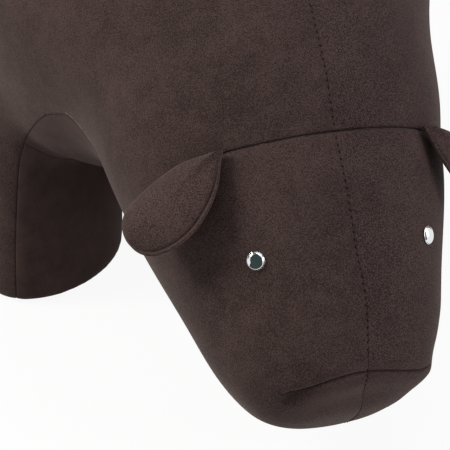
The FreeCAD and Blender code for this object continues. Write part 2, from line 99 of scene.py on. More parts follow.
# Neck seam: how far it sways towards the muzzle, by degrees round the neck from its top, so that it runs under the ears
NECK_TURN = [35, 45, 57, 65, 72, 81, 95, 115, 135, 155]
NECK_SWAY = [0, 2, 7.5, 12, 15, 17, 16, 11, 5, 0]
NECK_REACH = 175.0  # how far from the neck's centre the seam can be
# Middle seam of the head: how far it wanders to the left, by height
MIDDLE_Z = [40, 52, 74, 91, 109, 131, 150, 180]
MIDDLE_LEFT = [9, 8.2, 4.4, 1.3, 0.3, 1.4, 2.3, 0]

SEAM_HALF, NECK_SEAM_HALF, SEAM_LIP = 0.9, 1.0, 5.0
# A seam's spots, how far it reaches, and how wide its loose share is
SEAM_SPOT, SEAM_REACH, SEAM_LOOSE = 0.6, 16.0, 6.0
# What a seam's field says where the seam doesn't run, the jump that tells, and how near a vertex slides onto the line
FAR, FIELD_JUMP, SLIDE_SHARE = 100.0, 20.0, 0.2
# How deep each seam draws the cloth in, and how much painted shade darkens its crease
NECK_SEAM, GUSSET_SEAM, MIDDLE_SEAM, LEG_TUCK = (1.3, 1.0), (0.6, 0.65), (0.4, 0.18), (1.0, 0.55)
STITCH_PITCH, STITCH_LENGTH, STITCH_THICK, STITCH_RISE = 4.7, 1.8, 1.15, 0.2

# Mouth: its plane's place along the head and tilt, and how far its line wanders from that plane across the muzzle
MOUTH_STATION, MOUTH_TILT = 0.838, 57.0
MOUTH_X = [-62, -54, -45, -37, -31, -24, -15, -8, 0, 11, 24, 35, 48, 54, 62]
MOUTH_LINE = [5.0, 5.7, 6.0, 5.2, 4.1, 2.7, 1.5, 0.8, 1.1, 2.1, 4.1, 5.6, 6.2, 5.2, 3.2]
# Where on the front of the muzzle it runs, and the rows of edges laid along it
MOUTH_FRONT, MOUTH_REACH, MOUTH_CUTS = 4.0, 66.0, (-2.6, -0.9, 0.0, 0.9, 2.6)
# Its dart: where it fades out on either side, as (from, over), and the deep end on the right, as (middle, spread)
DART_SPAN, DART_RIGHT, DART_LEFT, DART_END = 30.0, (48.0, 6.0), (54.0, 9.0), (44.0, 9.0)
DART_LIP, DART_CHIN, DART_HOLLOW = (-6.0, 5.0), (17.0, 8.0), 3.0

# Chin: how much of its draw-in the left side takes, by distance under the mouth's plane, then by distance to the left
CHIN_DRAWN = [-34, -17, -3, 3, 8.5, 13.5, 18.5, 26, 38, 60], [0, 0.28, 0.38, 0.05, -0.5, -0.05, 0.8, 1, 0.8, 0.1]
CHIN_LEFT = [10, 35, 62], [0, 0.4, 1]

# Ear: the root's place on the neck seam, its lean, and its leaf outline as (along the root, reach)
EAR_FROM, EAR_ROOT, EAR_LEAN, EAR_GAP = 35.0, 38.0, 77.0, 0.6
EAR_LEAF = [(0, 0), (2.2, 8), (5.5, 22.5), (11.8, 34.8), (24, 48.2), (39, 55.6), (52, 57.8), (61, 56.2), (68.5, 51.8),
            (74, 45.5), (77.4, 37.5), (77.6, 30), (74.5, 23), (66.5, 16.6), (52, 8.8), (39.5, 3.6), (28, 0.6), (15, 0)]
# Its middle layer, rolled rim, full top and hollow under side, then where the front rim ends and how round its edge is
EAR_MIDDLE, EAR_RIM, EAR_CROWN, EAR_HOLLOW = 2.6, 2.9, 9.6, 3.4
EAR_FRONT_END, EAR_EDGE = (0.40, 0.52), 1.5
# Points round it, its heart, where it bends as it flaps, and its rings near the rim
EAR_SPOTS, EAR_HEART, EAR_BEND = 200, (42.0, 31.0), (1.0, 13.0)
EAR_RIM_RINGS = [0, 0.008, 0.02, 0.035, 0.05, 0.065, 0.08, 0.095, 0.11, 0.13, 0.16]
# Eye cap as (radius, height): shank, back and rolled rim, then its dome
CAP_SHANK, CAP_TOP, CAP_SPOTS = -13.9, 3.4, 48
CAP_RIM = [(1.5, CAP_SHANK), (1.5, 0.0), (5.6, 0.0), (6.0, 0.15), (6.2, 0.5), (6.12, 0.85), (5.98, 0.95), (5.9, 0.92)]
DOME_RADIUS, DOME_HEIGHT = 5.85, 2.4

# Cloth over its filling: ring gap, voxel, pressure and greatest swell of each form
TRUNK_RINGS, TRUNK_VOXEL, TRUNK_PRESSURE, TRUNK_SWELL = 4.0, 6.0, 4.0, 3.0
HEAD_RINGS, HEAD_VOXEL, HEAD_PRESSURE, HEAD_SWELL = 2.5, 3.0, 40.0, 2.0
EAR_PRESSURE, EAR_SWELL, CLOTH_FRAMES, SMOOTHING = 40.0, 1.0, 20, 6
# Fillets where the legs meet the barrel: widths on and off the gusset, and rounds
FILLET_ON, FILLET_OFF, FILLET_LAST, FILLET_ROUNDS = 12.0, 34.0, 30.0, (40, 120)
# How near to its seams the trunk's and the head's cloth is held
TRUNK_HELD, HEAD_HELD = 3.5, 2.0


# Forms

def world(points):
    """Millimetres from the neck seam to metres in the frame."""
    return (np.asarray(points, float) + [0, NECK_Y, 0]) * MM


def quarter(half_w, high, roundness, turn):
    """Side, corner and crown arcs of a quarter section, from the widest line to just short of the middle."""
    t = math.radians(turn)
    s, v = math.sin(t), 1 - math.cos(t)
    corner = roundness * min(half_w, high)
    a, b = half_w - corner, high - corner
    crown = (s * a - v * b) / (s * s - v * v) + corner
    side = (s * b - v * a) / (s * s - v * v) + corner

    def arc(cx, cz, radius, start, end, n):
        k = np.linspace(start, end, n, endpoint=False)
        return np.stack([cx + radius * np.cos(k), cz + radius * np.sin(k)], 1)
    square = math.pi / 2
    return np.concatenate([
        arc(half_w - side, 0, side, 0, t, 6),
        arc((crown - corner) * s, (side - corner) * s, corner, t, square - t, 12),
        arc(0, high - crown, crown, square - t, square, 6)])


def ring(y, z, half_w, up_h, down_h, tilt, squareness):
    """Closed section of tangent arcs, square to a line that falls by tilt degrees towards the head."""
    crown_round = 1 - squareness * (1 - CROWN_ROUND)
    belly_round = 1 - squareness * (1 - BELLY_ROUND)
    belly_turn = CROWN_TURN - squareness * (CROWN_TURN - BELLY_TURN)
    up = quarter(half_w, up_h, crown_round, CROWN_TURN)
    low = quarter(half_w, down_h, belly_round, belly_turn)
    flat = np.concatenate([
        up, [[0, up_h]], up[:0:-1] * [-1, 1],
        low * [-1, -1], [[0, -down_h]], low[:0:-1] * [1, -1]])
    t = math.radians(tilt)
    return np.stack([flat[:, 0], y - flat[:, 1] * math.sin(t), z + flat[:, 1] * math.cos(t)], 1)


def along(pitch, distance):
    """Y and Z of a point that far from the neck seam's centre, on a line that falls towards the head."""
    p = math.radians(pitch)
    return -distance * math.cos(p), NECK_HEIGHT - distance * math.sin(p)


def skin(rings, step):
    """Smooth spline skin through the rings, with new rings about a step apart."""
    rings = np.asarray(rings, float)
    gaps = np.linalg.norm(np.diff(rings, axis=0), axis=2).mean(1)
    t = np.concatenate([[0], np.cumsum(gaps)])
    n = len(t)
    flat = rings.reshape(n, -1)
    slope = np.diff(flat, axis=0) / gaps[:, None]
    bands = np.eye(n)
    right = np.zeros_like(flat)
    for i in range(1, n - 1):
        bands[i, i - 1:i + 2] = gaps[i - 1], 2 * (gaps[i - 1] + gaps[i]), gaps[i]
        right[i] = 6 * (slope[i] - slope[i - 1])
    bend = np.linalg.solve(bands, right)
    dense = np.linspace(0, t[-1], int(t[-1] / step) + 1)
    k = np.clip(np.searchsorted(t, dense, side="right") - 1, 0, n - 2)
    h = gaps[k][:, None]
    a = (t[k + 1] - dense)[:, None]
    b = (dense - t[k])[:, None]
    found = (bend[k] * a ** 3 + bend[k + 1] * b ** 3) / (6 * h)
    found += (flat[k] / h - bend[k] * h / 6) * a + (flat[k + 1] / h - bend[k + 1] * h / 6) * b
    return found.reshape(len(dense), -1, 3)


def eased(x, xs, ys):
    """Smooth curve through the points of a table, flat beyond its ends."""
    xs, ys = np.asarray(xs, float), np.asarray(ys, float)
    slope = np.gradient(ys, xs)
    x = np.clip(x, xs[0], xs[-1])
    k = np.clip(np.searchsorted(xs, x, side="right") - 1, 0, len(xs) - 2)
    h = xs[k + 1] - xs[k]
    t = (x - xs[k]) / h
    return ((2 * t ** 3 - 3 * t * t + 1) * ys[k] + (t ** 3 - 2 * t * t + t) * h * slope[k]
            + (3 * t * t - 2 * t ** 3) * ys[k + 1] + (t ** 3 - t * t) * h * slope[k + 1])


def hill(x, middle, spread):
    """Smooth hill of height 1."""
    return math.exp(-((x - middle) / spread) ** 2)


def smooth(x):
    """Smooth step from 0 to 1."""
    x = min(max(x, 0), 1)
    return x * x * (3 - 2 * x)


def band_faces(rows, n):
    """Faces between closed rows of n points each."""
    found = []
    for i in range(rows - 1):
        for j in range(n):
            k = (j + 1) % n
            found.append((i * n + j, i * n + k, (i + 1) * n + k, (i + 1) * n + j))
    return found


def tube(rings):
    """Vertices and faces of a closed tube through the rings, with a point at each end."""
    n, m = rings.shape[:2]
    verts = np.concatenate([rings.reshape(-1, 3), [rings[0].mean(0), rings[-1].mean(0)]])
    faces = band_faces(n, m)
    for j in range(m):
        k = (j + 1) % m
        faces.append((n * m, k, j))
        faces.append((n * m + 1, (n - 1) * m + j, (n - 1) * m + k))
    return verts, faces


def body_rings():
    """Sections of the body, from inside the head to the rump."""
    w, h, mid = BODY_HALF_WIDTH, (BACK_HEIGHT - BELLY_HEIGHT) / 2, (BACK_HEIGHT + BELLY_HEIGHT) / 2
    r, end = NECK_RADIUS, RUMP_Y
    ahead = along(HEAD_PITCH, HEAD_OVERLAP * HEAD_LENGTH)
    near, far = along(NECK_PITCH, -25), along(NECK_PITCH, -88)
    tilt = NECK_TILT
    return [ring(*s) for s in [
        (ahead[0], ahead[1], 0.955 * r, 0.965 * r, 0.965 * r, tilt, 0),
        (0, NECK_HEIGHT, r, r, r, tilt, 0),
        (near[0], near[1], r + 5.5, r + 5.5, r + 5.5, 0.94 * tilt, 0),
        (far[0] - 13, far[1] - 25, r + 10.5, r + 10.5, r + 10.5, 0.76 * tilt, 0.25),
        (0.41 * SHOULDER_Y, mid - 13, 0.86 * w, 1.04 * h, 1.04 * h, 0.45 * tilt, 0.8),
        (0.70 * SHOULDER_Y, mid, 0.975 * w, 1.01 * h, 1.01 * h, 0.18 * tilt, 1),
        (BACK_START, mid, w, h, h, 0, 1),
        (BACK_END, mid, w, 0.99 * h, 0.99 * h, 0, 1),
        (end - 78, mid - 5, 0.90 * w, 0.925 * h, 0.925 * h, -6, 0.9),
        (end - 30, mid - 12, 0.69 * w, 0.715 * h, 0.715 * h, -10, 0.6),
        (end - 7, mid - 16, 0.41 * w, 0.43 * h, 0.43 * h, -12, 0.3),
        (end, mid - 18, 0.17 * w, 0.18 * h, 0.18 * h, -12, 0)]]


def head_rings():
    """Sections of the head, from inside the neck to the muzzle's tip."""
    r, mw, md = NECK_RADIUS, MUZZLE_HALF_WIDTH, MUZZLE_HALF_DEPTH
    found = []
    for share, half_w, half_d, tilt in [
            (-0.13, 1.03 * r, 1.03 * r, NECK_TILT),
            (0, r, r, NECK_TILT),
            (HEAD_OVERLAP, 0.955 * r, 0.965 * r, NECK_TILT),
            (0.546, 0.43 * r + 0.57 * mw, 0.52 * r + 0.48 * md, 52),
            (MUZZLE_STATION, mw, md, 51),
            (0.925, 0.87 * mw, 0.84 * md, 48),
            (0.966, 0.70 * mw, 0.60 * md, 43),
            (1, 0.36 * mw, 0.30 * md, 42),
            (1.006, 0.12 * mw, 0.10 * md, 42)]:
        y, z = along(HEAD_PITCH, share * HEAD_LENGTH)
        found.append(ring(y, z, half_w, half_d, half_d, tilt, 0))
    return found


def leg_rings(side, y):
    """Leg column with a rounded foot edge, its long axis turned outward at the front."""
    turn = math.radians(side * LEG_TOE_OUT)
    c, s = math.cos(turn), math.sin(turn)
    k = np.linspace(0, 2 * math.pi, LEG_SPOTS, endpoint=False)

    def draw(z):
        low = max(1 - (z - LEG_BOTTOM) / FOOT_RISE, 0)
        high = max((z - LEG_TAPER_FROM) / (LEG_TOP - LEG_TAPER_FROM), 0)
        return -FOOT_DRAW_IN * low * low - LEG_TOP_DRAW_IN * high
    levels = []
    for a in np.linspace(0, math.pi / 2, 7):
        z = LEG_BOTTOM + FOOT_ROUND * (1 - math.cos(a))
        levels.append((z, draw(z) - FOOT_ROUND * (1 - math.sin(a))))
    levels += [(z, draw(z)) for z in np.linspace(LEG_BOTTOM + FOOT_ROUND + 3, LEG_TOP, 42)]
    found = []
    for z, grow in levels:
        px, py = (LEG_SHORT + grow) * np.cos(k), (LEG_LONG + grow) * np.sin(k)
        found.append(np.stack([side * LEG_X + c * px - s * py, y + s * px + c * py, np.full_like(k, z)], 1))
    return np.array(found)


# Mesh tools

def linked(name, data):
    made = bpy.data.objects.new(name, data)
    scene.collection.objects.link(made)
    return made


def mesh_object(name, verts, faces, edges=()):
    mesh = bpy.data.meshes.new(name)
    mesh.from_pydata([tuple(v) for v in verts], edges, faces)
    mesh.update()
    return linked(name, mesh)


def places(obj):
    found = np.empty(len(obj.data.vertices) * 3)
    obj.data.vertices.foreach_get("co", found)
    return found.reshape(-1, 3)


def place_all(obj, points):
    obj.data.vertices.foreach_set("co", np.ascontiguousarray(points, float).ravel())
    obj.data.update()


def evaluated(obj):
    """The object's mesh with its modifiers, in place of its own mesh."""
    bpy.context.view_layer.update()
    shaped = bpy.data.meshes.new_from_object(obj.evaluated_get(bpy.context.evaluated_depsgraph_get()))
    obj.modifiers.clear()
    obj.data = shaped


def remeshed(obj, voxel):
    step = obj.modifiers.new("remesh", "REMESH")
    step.mode = "VOXEL"
    step.voxel_size = voxel * MM
    evaluated(obj)


def subdivided(obj):
    step = obj.modifiers.new("subdivide", "SUBSURF")
    step.levels = step.render_levels = 1
    evaluated(obj)


def relaxed(obj, weight, rounds, keep_volume=False):
    """Moves each point towards the middle of its neighbours, by its weight."""
    co = places(obj)
    pairs = np.empty(len(obj.data.edges) * 2, int)
    obj.data.edges.foreach_get("vertices", pairs)
    a, b = pairs.reshape(-1, 2).T
    count = np.bincount(np.concatenate([a, b]), minlength=len(co))[:, None]
    share = np.broadcast_to(np.asarray(weight, float), len(co))[:, None]
    for i in range(rounds):
        total = np.stack([np.bincount(a, co[b, k], len(co)) + np.bincount(b, co[a, k], len(co)) for k in range(3)], 1)
        pull = 0.5 if not (keep_volume and i % 2) else -0.53
        co = co + share * pull * (total / count - co)
    place_all(obj, co)


def stuffed(obj, held, pressure, cap):
    """Cloth over its filling: pressure swells the panels between the held points, by at most the cap."""
    rest = places(obj)
    group = obj.vertex_groups.new(name="held")
    group.add([int(i) for i in np.flatnonzero(held)], 1.0, "REPLACE")
    cloth = obj.modifiers.new("cloth", "CLOTH")
    cloth.settings.use_pressure = True
    cloth.settings.uniform_pressure_force = pressure
    cloth.settings.effector_weights.gravity = 0
    cloth.settings.vertex_group_mass = "held"
    cloth.point_cache.frame_start, cloth.point_cache.frame_end = 1, CLOTH_FRAMES
    for f in range(1, CLOTH_FRAMES + 1):
        scene.frame_set(f)
    evaluated(obj)
    scene.frame_set(1)
    moved = places(obj) - rest
    length = np.linalg.norm(moved, axis=1, keepdims=True)
    limit = cap * MM
    place_all(obj, rest + moved * limit * np.tanh(length / limit) / np.maximum(length, 1e-9))
    obj.vertex_groups.clear()


def cut_along(bm, field, level, mark=None):
    """Lays a line of edges where the field reaches the level, so that a seam runs along vertices, and marks them."""
    bm.verts.ensure_lookup_table()
    bm.verts.index_update()
    f = field(np.array([v.co for v in bm.verts]) / MM) - level
    on = f == 0
    crossing = []
    for e in bm.edges:
        i, j = e.verts[0].index, e.verts[1].index
        if f[i] * f[j] < 0 and abs(f[i] - f[j]) < FIELD_JUMP:
            crossing.append((e, i, j))
    for e, i, j in crossing:
        share = f[i] / (f[i] - f[j])
        near = i if share < SLIDE_SHARE else j if share > 1 - SLIDE_SHARE else None
        if near is not None and not on[near]:
            if not on[i] and not on[j]:
                bm.verts[near].co = e.verts[0].co.lerp(e.verts[1].co, share)
            on[near] = True
    line = [bm.verts[i] for i in np.flatnonzero(on)]
    for e, i, j in crossing:
        if not on[i] and not on[j]:
            made = bmesh.utils.edge_split(e, e.verts[0], f[i] / (f[i] - f[j]))
            line.append(made[1])
    bmesh.ops.connect_verts(bm, verts=line)
    if mark is not None:
        for v in line:
            v[mark] = 1


def seam_line(bm, field, mark):
    """Three close lines of edges along a seam; the middle one is the seam itself, and is marked."""
    cut_along(bm, field, SEAM_HALF)
    cut_along(bm, field, -SEAM_HALF)
    cut_along(bm, field, 0.0, mark)


def face_middles(bm):
    bm.faces.ensure_lookup_table()
    return np.array([f.calc_center_median() for f in bm.faces]) / MM


def drop_faces(bm, gone):
    bmesh.ops.delete(bm, geom=[bm.faces[i] for i in np.flatnonzero(gone)], context="FACES")


def line_edges(bm, mark):
    return [e for e in bm.edges if e.verts[0][mark] and e.verts[1][mark]]


def draw_in(bm, seams):
    """Pulls the cloth in along its seams and writes how much painted shade darkens each crease."""
    shade = bm.verts.layers.float["seam"]
    bm.normal_update()
    pulls = {}
    for mark, width, (depth, dark) in seams:
        spots = []
        for e in line_edges(bm, mark):
            a, b = (v.co for v in e.verts)
            n = max(1, int((b - a).length / (SEAM_SPOT * MM)))
            spots += [a.lerp(b, i / n) for i in range(n + 1)]
        tree = KDTree(len(spots))
        for i, spot in enumerate(spots):
            tree.insert(spot, i)
        tree.balance()
        for v in bm.verts:
            d = tree.find(v.co)[2] / MM
            if d < SEAM_REACH:
                tight = hill(d, 0, 0.8 * width)
                pull = depth * (0.7 * tight + 0.3 * hill(d, 0, SEAM_LOOSE))
                pulls[v] = max(pulls.get(v, 0), pull)
                # painted shade, darkest on the seam's line
                v[shade] = max(v[shade], dark * tight)
    for v, pull in pulls.items():
        v.co -= v.normal * pull * MM


def seam_path(bm, mark):
    """End points of the seam's edges, for the stitches."""
    bm.normal_update()
    return [tuple(v.co + v.normal * STITCH_RISE * MM for v in e.verts) for e in line_edges(bm, mark)]


def panel(bm, name, kept):
    """One cloth panel: the faces that kept() picks, with a lip turned in along its seams."""
    cut = bm.copy()
    drop_faces(cut, ~kept(face_middles(cut)))
    cut.normal_update()
    edges = [e for e in cut.edges if e.is_boundary]
    rims = {v: v.normal.copy() for e in edges for v in e.verts}
    made = bmesh.ops.extrude_edge_only(cut, edges=edges)["geom"]
    lips = [v for v in made if isinstance(v, bmesh.types.BMVert)]
    for v in lips:
        start = next(e.other_vert(v) for e in v.link_edges if e.other_vert(v) in rims)
        v.co -= rims[start] * SEAM_LIP * MM
    for mark in list(cut.verts.layers.int.values()):
        cut.verts.layers.int.remove(mark)
    mesh = bpy.data.meshes.new(name)
    cut.to_mesh(mesh)
    cut.free()
    mesh.shade_smooth()
    return linked(name, mesh)


# Seam fields, in millimetres, positive on one side of the seam

def local(points):
    return points - [0, NECK_Y, 0]


def neck_field(points):
    """Distance behind the neck seam; the front feet count as behind it."""
    t = math.radians(NECK_TILT)
    p = local(points)
    behind = p[:, 1] * math.cos(t) + (p[:, 2] - NECK_HEIGHT) * math.sin(t)
    up = (p[:, 2] - NECK_HEIGHT) * math.cos(t) - p[:, 1] * math.sin(t)
    turn = np.degrees(np.arctan2(np.abs(p[:, 0]), up))
    near = np.linalg.norm(p - [0, 0, NECK_HEIGHT], axis=1) < NECK_REACH
    return np.where(near | (p[:, 1] < 0), behind + eased(turn, NECK_TURN, NECK_SWAY), FAR)


def from_mouth(p):
    """Distances from the mouth's plane towards the chin, and along it towards the front."""
    t = math.radians(MOUTH_TILT)
    y, z = along(HEAD_PITCH, MOUTH_STATION * HEAD_LENGTH)
    p = p - [0, y, z]
    return -p[:, 1] * math.cos(t) - p[:, 2] * math.sin(t), p[:, 2] * math.cos(t) - p[:, 1] * math.sin(t)


def mouth_field(points):
    """Distance from the mouth's line towards the chin, on the front of the muzzle."""
    x = points[:, 0]
    below, front = from_mouth(local(points))
    on_front = (front > MOUTH_FRONT) & (np.abs(x) < MOUTH_REACH)
    return np.where(on_front, below - eased(x, MOUTH_X, MOUTH_LINE), FAR)


def gusset_field(points):
    """Plan distance inside the belly gusset's seam."""
    p = local(points)
    half = eased(p[:, 1], GUSSET_Y, GUSSET_HALF)
    fade = np.interp(p[:, 1], FLARE_END, [1, 0])
    half = half + fade * eased(p[:, 2], FLARE_Z, FLARE)
    shoulder = np.interp(p[:, 2], ARCH_RISE, HOLD) * np.interp(p[:, 1], ARCH_RUN, HOLD)
    arch = ARCH_SHARE * shoulder * (eased(p[:, 2], ARCH_Z, ARCH_Y) - p[:, 1])
    inside = np.minimum(half - np.abs(p[:, 0]) + arch, np.minimum(GUSSET_BACK - p[:, 1], p[:, 1] - GUSSET_FRONT))
    return np.where(p[:, 2] < GUSSET_TOP, inside, -FAR)


def centre_field(points):
    """Distance to the left of the middle, off the gusset."""
    return np.where(gusset_field(points) > 0.5, FAR, points[:, 0])


def sole_field(points):
    """Distance outside the opening that the turned-in hem leaves under each foot."""
    p = local(points)
    found = np.full(len(p), FAR)
    for side in (-1, 1):
        for y in (FRONT_LEG_Y, HIND_LEG_Y):
            turn = math.radians(side * LEG_TOE_OUT)
            c, s = math.cos(turn), math.sin(turn)
            x, y = p[:, 0] - side * SOLE_X, p[:, 1] - y - SOLE_Y
            oval = np.hypot((c * x + s * y) / SOLE_SHORT, (c * y - s * x) / SOLE_LONG)
            found = np.minimum(found, (oval - 1) * SOLE_SHORT)
    return np.where(p[:, 2] < SOLE_HEIGHT, found, FAR)


def true_soles(bm):
    """Lays the edge of each foot's opening on its oval."""
    for v in bm.verts:
        if v.is_boundary and v.co.z < SOLE_HEIGHT * MM:
            spot = np.array(v.co) / MM
            oval = sole_field(spot[None])[0] / SOLE_SHORT + 1
            hind = spot[1] - NECK_Y > (FRONT_LEG_Y + HIND_LEG_Y) / 2
            centre = [math.copysign(SOLE_X, spot[0]), (HIND_LEG_Y if hind else FRONT_LEG_Y) + SOLE_Y + NECK_Y]
            if oval < SOLE_NEAR:
                v.co.xy = (centre + (spot[:2] - centre) / oval) * MM


def middle_field(points):
    """Distance to the left of the head's middle seam."""
    return points[:, 0] - eased(points[:, 2], MIDDLE_Z, MIDDLE_LEFT)


def cut_at_neck(bm, mark, side):
    """Cuts the form along the neck seam, keeps what is before it (-1) or behind it (1), and marks the rim."""
    cut_along(bm, neck_field, side * NECK_SEAM_HALF)
    cut_along(bm, neck_field, 0.0, mark)
    drop_faces(bm, neck_field(face_middles(bm)) * side < 0)


def sewing_mesh(obj, *marks):
    """The object's mesh for cutting and sewing, with a mark for each seam; the object goes."""
    bm = bmesh.new()
    bm.from_mesh(obj.data)
    bpy.data.objects.remove(obj)
    # painted shade of the seams' creases, written as the seams are sewn
    bm.verts.layers.float.new("seam")
    for mark in marks:
        bm.verts.layers.int.new(mark)
    return bm, [bm.verts.layers.int[mark] for mark in marks]


stitched = []


# Trunk

def make_trunk():
    """The belly panel and the two flanks, cut from one stuffed form."""
    body = tube(skin(body_rings(), TRUNK_RINGS))
    legs = [tube(leg_rings(side, y)) for side in (-1, 1) for y in (FRONT_LEG_Y, HIND_LEG_Y)]
    verts, faces = [world(body[0])], list(body[1])
    for v, f in legs:
        start = sum(len(x) for x in verts)
        verts.append(world(v))
        faces += [tuple(i + start for i in face) for face in f]
    obj = mesh_object("trunk", np.concatenate(verts), faces)
    remeshed(obj, TRUNK_VOXEL)
    barrel = BVHTree.FromPolygons([tuple(v) for v in world(body[0])], body[1])
    columns = [BVHTree.FromPolygons([tuple(v) for v in world(v)], f) for v, f in legs]

    def off_both(points):
        """How far each point is from the bare barrel and from the nearest bare leg."""
        spots = [Vector(p) for p in points]
        return np.array([(barrel.find_nearest(p)[3], min(c.find_nearest(p)[3] for c in columns)) for p in spots]) / MM
    joint = off_both(places(obj)).max(1)
    within = gusset_field(places(obj) / MM) > 6
    on, off, last = (np.exp(-(joint / width) ** 2) for width in (FILLET_ON, FILLET_OFF, FILLET_LAST))
    relaxed(obj, np.where(within, 0.4 * on, off), FILLET_ROUNDS[0])
    relaxed(obj, np.where(within, 0.0, last), FILLET_ROUNDS[1])
    relaxed(obj, 1.0, SMOOTHING, keep_volume=True)
    co = places(obj) / MM
    held = np.abs(gusset_field(co)) < TRUNK_HELD
    held |= (np.abs(co[:, 0]) < TRUNK_HELD) & (gusset_field(co) < 0)
    held |= (neck_field(co) < 4) | (co[:, 2] < LEG_BOTTOM + 2)
    stuffed(obj, held, TRUNK_PRESSURE, TRUNK_SWELL)
    subdivided(obj)
    bm, (neck, gusset, back, tuck) = sewing_mesh(obj, "neck", "gusset", "back", "tuck")
    cut_at_neck(bm, neck, 1)
    seam_line(bm, gusset_field, gusset)
    seam_line(bm, centre_field, back)

    def tuck_field(points):
        """Nearer to a leg than to the barrel, on the gusset round the legs."""
        found = np.full(len(points), FAR)
        y, z = local(points)[:, 1:].T
        near = (gusset_field(points) > -2) & (y > TUCK_FROM) & (z < TUCK_HIGH) & (z > TUCK_LOW)
        off = off_both(points[near] * MM)
        found[near] = np.where(off.max(1) < TUCK_REACH, off[:, 0] - off[:, 1], FAR)
        return found
    seam_line(bm, tuck_field, tuck)
    cut_along(bm, sole_field, 0.0)
    drop_faces(bm, sole_field(face_middles(bm)) < 0)
    true_soles(bm)
    draw_in(bm, [(neck, NECK_SEAM_HALF, NECK_SEAM), (gusset, SEAM_HALF, GUSSET_SEAM), (back, SEAM_HALF, MIDDLE_SEAM),
                 (tuck, SEAM_HALF, LEG_TUCK)])
    stitched.extend(seam_path(bm, back))
    bm.normal_update()
    pieces = {"belly_panel": panel(bm, "belly_panel", lambda p: gusset_field(p) > 0)}
    for side, word in SIDES:
        pieces["flank_" + word] = panel(
            bm, "flank_" + word, lambda p, side=side: (gusset_field(p) <= 0) & (p[:, 0] * side > 0))
    bm.free()
    return pieces


trunk = make_trunk()
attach(trunk["belly_panel"], "pouf")
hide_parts("belly_gusset", "leg_foam_front_right", "leg_foam_front_left",
            "leg_foam_hind_right", "leg_foam_hind_left")
for word in ("right", "left"):
    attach(trunk["flank_" + word], "pouf")
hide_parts("flank_cover_right", "back_foam", "neck_foam")
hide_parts("flank_cover_left")


# Head

def tuck_mouth(bm):
    """Draws the mouth's dart in: a tight line, a hollow under it that deepens at the right end, a fuller lip; paints
    shade into the line and into the hollow at the right end.
    """
    bm.normal_update()
    layer = bm.verts.layers.float["seam"]
    bm.verts.ensure_lookup_table()
    co = np.array([v.co for v in bm.verts]) / MM
    below = mouth_field(co)
    for i in np.flatnonzero(np.abs(below) < DART_SPAN):
        v, m, x = bm.verts[i], below[i], abs(co[i, 0])
        right = co[i, 0] < 0
        start, over = DART_RIGHT if right else DART_LEFT
        fade = smooth(1 - (x - start) / over)
        end = hill(x, *DART_END) if right else 0.0
        tight = hill(m, 0, 0.9 + 0.5 * end)
        hollow = hill(m, DART_HOLLOW, 4.0 if m > 0 else 3.0)
        move = -1.7 * tight - (0.6 + 2.4 * end) * hollow + 0.7 * hill(m, *DART_LIP) + 0.6 * hill(m, *DART_CHIN)
        v.co += v.normal * (move * fade * MM)
        # painted shade in the mouth's line and in the hollow at its right end
        v[layer] = max(v[layer], tight * fade, 0.75 * hollow * end * fade)


def make_head():
    """The two halves of the head's cover."""
    verts, faces = tube(skin(head_rings(), HEAD_RINGS))
    drawn = eased(from_mouth(verts)[0], *CHIN_DRAWN)
    verts[:, 0] -= CHIN_DRAW_IN * drawn * eased(verts[:, 0], *CHIN_LEFT)
    obj = mesh_object("head", world(verts), faces)
    remeshed(obj, HEAD_VOXEL)
    relaxed(obj, 1.0, SMOOTHING, keep_volume=True)
    co = places(obj) / MM
    held = (np.abs(middle_field(co)) < HEAD_HELD) | (neck_field(co) > -3)
    stuffed(obj, held, HEAD_PRESSURE, HEAD_SWELL)
    subdivided(obj)
    bm, (neck, middle) = sewing_mesh(obj, "neck", "middle")
    cut_at_neck(bm, neck, -1)
    seam_line(bm, middle_field, middle)
    for level in MOUTH_CUTS:
        cut_along(bm, mouth_field, level)
    draw_in(bm, [(neck, NECK_SEAM_HALF, NECK_SEAM), (middle, SEAM_HALF, MIDDLE_SEAM)])
    stitched.extend(seam_path(bm, middle))
    tuck_mouth(bm)
    pieces = {}
    for side, word in SIDES:
        pieces[word] = panel(bm, "head_" + word, lambda p, side=side: middle_field(p) * side > 0)
    bm.free()
    return pieces


head = make_head()
for word in ("right", "left"):
    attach(head[word], "pouf")
    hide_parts("head_cover_" + word)
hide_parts("head_foam")


# Ears

def ear_frame():
    """Root corner and the root, reach and thickness directions of the right ear, in millimetres."""
    t, a = math.radians(NECK_TILT), math.radians(EAR_FROM) + EAR_ROOT / 2 / NECK_RADIUS
    out = np.array([-math.sin(a), -math.cos(a) * math.sin(t), math.cos(a) * math.cos(t)])
    along_root = np.array([-math.cos(a), math.sin(a) * math.sin(t), -math.sin(a) * math.cos(t)])
    forward = np.array([0, -math.cos(t), -math.sin(t)])
    lean = math.radians(EAR_LEAN)
    reach = out * math.cos(lean) + forward * math.sin(lean)
    thick = out * math.sin(lean) - forward * math.cos(lean)
    root = np.array([0, 0, NECK_HEIGHT]) + out * (NECK_RADIUS + EAR_GAP) - along_root * EAR_ROOT / 2
    return root, along_root, reach, thick


def leaf_outline(n):
    """Closed smooth line through the leaf's points, with a corner where the ear starts at its root."""
    points = np.array(EAR_LEAF + [EAR_LEAF[0]], float)
    t = np.concatenate([[0], np.cumsum(np.linalg.norm(np.diff(points, axis=0), axis=1) ** 0.5)])
    x = np.linspace(0, t[-1], n, endpoint=False)
    return np.stack([eased(x, t, points[:, i]) for i in (0, 1)], 1)


